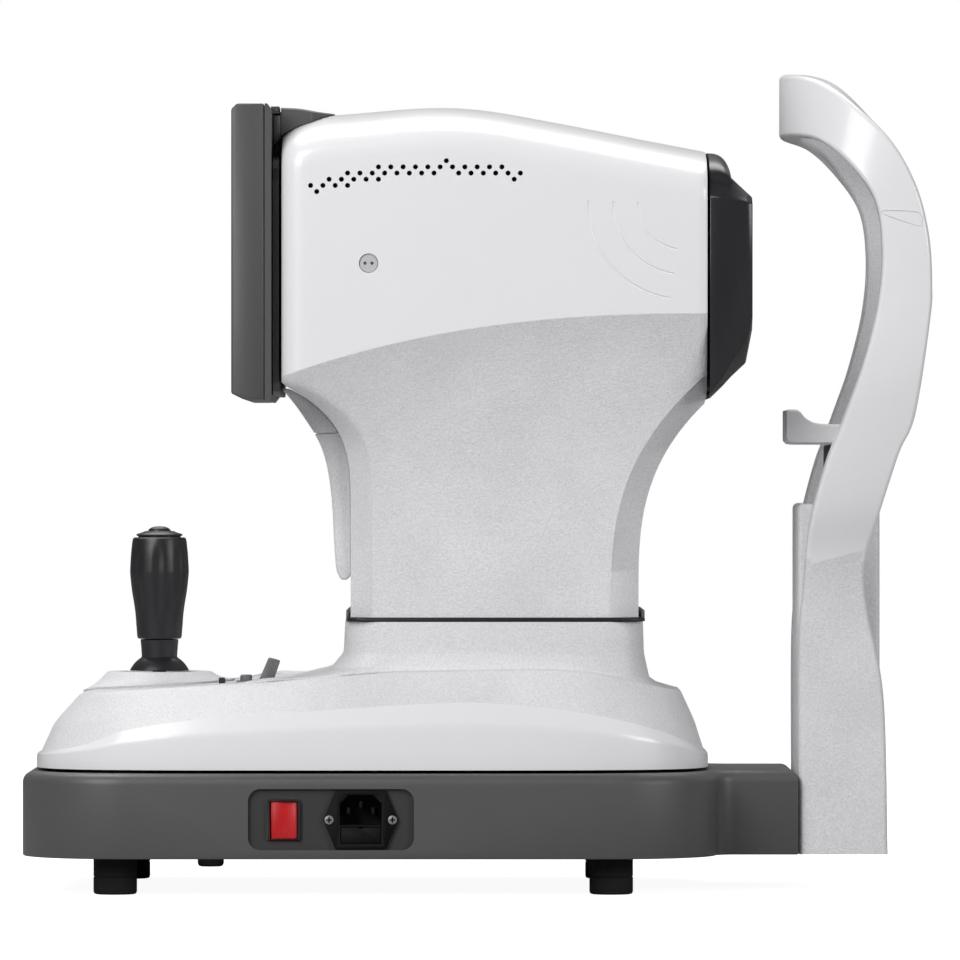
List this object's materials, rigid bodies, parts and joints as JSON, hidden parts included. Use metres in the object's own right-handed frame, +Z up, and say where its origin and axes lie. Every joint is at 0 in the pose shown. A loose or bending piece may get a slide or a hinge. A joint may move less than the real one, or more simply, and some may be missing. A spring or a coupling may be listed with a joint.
{
  "type": "autorefractor",
  "caption": "Table-top eye-measuring instrument: joystick carriage with a lifting measuring head and tilting display, on a base with a headrest and chinrest.",
  "frame": {"origin": "middle of the object's footprint, on the surface that the feet stand on", "axes": "+X from the operator towards the patient, +Y away from the side with the mains inlet, +Z up"},
  "size_m": [0.5181, 0.27, 0.47],
  "materials": {
    "base_paint": "satin dark grey moulding",
    "dark_plastic": "satin dark grey moulding",
    "white_shell": "white paint, smooth on the upright walls and finely grained elsewhere",
    "nose_gloss": "near-black gloss",
    "joystick_black": "satin near-black",
    "black_plastic": "matt black moulding",
    "grey_plastic": "satin mid grey",
    "light_grey_plastic": "satin light grey",
    "red_plastic": "glossy red switch rocker",
    "rubber": "matt black rubber",
    "silicone": "soft pale silicone",
    "coated_glass": "coated optical window",
    "screen_glass": "dark display glass, switched off",
    "steel": "ground or plated steel",
    "motor_steel": "dark plated motor casing",
    "aluminium": "machined or cast aluminium",
    "paper": "thermal paper roll"
  },
  "bodies": {
    "base": {"base_housing": "base_paint", "base_bottom_plate": "steel", "friction_plate": "steel", "foot_1": "rubber", "foot_2": "rubber", "foot_3": "rubber", "foot_4": "rubber", "transport_lock_knob": "black_plastic", "power_supply": "aluminium", "rack_near": "steel", "rack_far": "steel", "headrest_bracket": "steel", "switch_frame": "black_plastic", "inlet_socket": "black_plastic", "headrest_arch": "white_shell", "chinrest_tower": "white_shell", "forehead_pad": "silicone", "chinrest_motor": "motor_steel"},
    "rocker": {"power_rocker": "red_plastic"},
    "fuse_tray": {"fuse_drawer": "black_plastic"},
    "bridge": {"axle_bridge": "aluminium"},
    "axle": {"cross_axle": "steel"},
    "carriage": {"carriage_skirt": "white_shell", "carriage_plate": "aluminium", "bearing_block": "aluminium", "gimbal_mount": "black_plastic", "lift_motor": "motor_steel", "guide_rod_near": "steel", "guide_rod_far": "steel", "waist_collar": "dark_plastic", "control_plate": "grey_plastic"},
    "gimbal": {"gimbal_ring": "steel"},
    "joystick": {"joystick_shaft": "joystick_black"},
    "grip": {"joystick_grip": "joystick_black"},
    "stick_button": {"joystick_button": "joystick_black"},
    "lock_lever": {"stage_lock_lever": "grey_plastic"},
    "up_button": {"chinrest_up_button": "grey_plastic"},
    "down_button": {"chinrest_down_button": "grey_plastic"},
    "printing_button": {"print_button": "black_plastic"},
    "head": {"head_cover_near": "white_shell", "head_cover_far": "white_shell", "side_plug": "light_grey_plastic", "head_hood": "dark_plastic", "nose_cover": "nose_gloss", "window_glass": "coated_glass", "column_sleeve": "black_plastic", "lift_frame": "aluminium", "optics_barrel": "aluminium", "printer_mechanism": "grey_plastic", "rear_panel": "white_shell", "display_mount": "dark_plastic"},
    "lift_spindle": {"lift_screw": "steel"},
    "display": {"display_bezel": "dark_plastic", "display_back": "dark_plastic", "display_glass": "screen_glass"},
    "printer_flap": {"printer_door": "white_shell"},
    "roll": {"paper_roll": "paper"},
    "chinrest": {"chinrest_cup": "light_grey_plastic", "chinrest_post": "light_grey_plastic"},
    "chin_spindle": {"chinrest_screw": "steel"}
  },
  "joints": [
    {"name": "power_switch", "type": "hinge", "parent": "base", "child": "rocker", "pos_m": [-0.1085, -0.1314, 0.043], "axis": [0, 0, 1], "range_deg": [-16, 0]},
    {"name": "fuse_pull", "type": "slide", "parent": "base", "child": "fuse_tray", "axis": [0, -1, 0], "range_m": [0, 0.018]},
    {"name": "fore_travel", "type": "slide", "parent": "base", "child": "bridge", "axis": [1, 0, 0], "range_m": [-0.022, 0.018]},
    {"name": "axle_roll", "type": "hinge", "parent": "bridge", "child": "axle", "pos_m": [0.03, 0, 0.081], "axis": [0, 1, 0], "range_deg": [-158, 130]},
    {"name": "cross_travel", "type": "slide", "parent": "bridge", "child": "carriage", "axis": [0, 1, 0], "range_m": [-0.043, 0.043]},
    {"name": "stick_fore_tilt", "type": "hinge", "parent": "carriage", "child": "gimbal", "pos_m": [-0.1835, 0, 0.1046], "axis": [0, 1, 0], "range_deg": [-10, 10]},
    {"name": "stick_side_tilt", "type": "hinge", "parent": "gimbal", "child": "joystick", "pos_m": [-0.1835, 0, 0.1046], "axis": [1, 0, 0], "range_deg": [-10, 10]},
    {"name": "grip_twist", "type": "hinge", "parent": "joystick", "child": "grip", "pos_m": [-0.1835, 0, 0.1436], "axis": [0, 0, 1], "continuous": true},
    {"name": "stick_button_press", "type": "slide", "parent": "grip", "child": "stick_button", "axis": [0, 0, -1], "range_m": [0, 0.002], "stiffness_N_per_m": 500, "springref_m": -0.001},
    {"name": "stage_lock", "type": "hinge", "parent": "carriage", "child": "lock_lever", "pos_m": [-0.123, -0.06, 0.11], "axis": [0, 1, 0], "range_deg": [0, 12]},
    {"name": "up_button_press", "type": "slide", "parent": "carriage", "child": "up_button", "axis": [0, 0, -1], "range_m": [0, 0.0012], "stiffness_N_per_m": 500, "springref_m": -0.001},
    {"name": "down_button_press", "type": "slide", "parent": "carriage", "child": "down_button", "axis": [0, 0, -1], "range_m": [0, 0.0012], "stiffness_N_per_m": 500, "springref_m": -0.001},
    {"name": "print_button_press", "type": "slide", "parent": "carriage", "child": "printing_button", "axis": [0, 0, -1], "range_m": [0, 0.0008], "stiffness_N_per_m": 500, "springref_m": -0.001},
    {"name": "head_lift", "type": "slide", "parent": "carriage", "child": "head", "axis": [0, 0, 1], "range_m": [0, 0.03]},
    {"name": "lift_screw_turn", "type": "hinge", "parent": "carriage", "child": "lift_spindle", "pos_m": [0.04, 0, 0.1393], "axis": [0, 0, 1], "range_deg": [-1, 1081]},
    {"name": "display_tilt", "type": "hinge", "parent": "head", "child": "display", "pos_m": [-0.114, 0, 0.4468], "axis": [0, 1, 0], "range_deg": [0, 25]},
    {"name": "printer_flap_hinge", "type": "hinge", "parent": "head", "child": "printer_flap", "pos_m": [-0.0765, 0, 0.181], "axis": [0, 1, 0], "range_deg": [-70, 0]},
    {"name": "paper_feed", "type": "hinge", "parent": "head", "child": "roll", "pos_m": [-0.045, 0, 0.226], "axis": [0, 1, 0], "continuous": true},
    {"name": "chinrest_lift", "type": "slide", "parent": "base", "child": "chinrest", "axis": [0, 0, 1], "range_m": [-0.03, 0.03]},
    {"name": "chinrest_screw_turn", "type": "hinge", "parent": "base", "child": "chin_spindle", "pos_m": [0.212, 0, 0.06], "axis": [0, 0, 1], "range_deg": [-901, 901]}
  ],
  "couplings": [
    {"joint": "axle_roll", "follows": "fore_travel", "rad_per_m": 125},
    {"joint": "lift_screw_turn", "follows": "head_lift", "rad_per_m": 628.32},
    {"joint": "chinrest_screw_turn", "follows": "chinrest_lift", "rad_per_m": 523.6}
  ]
}
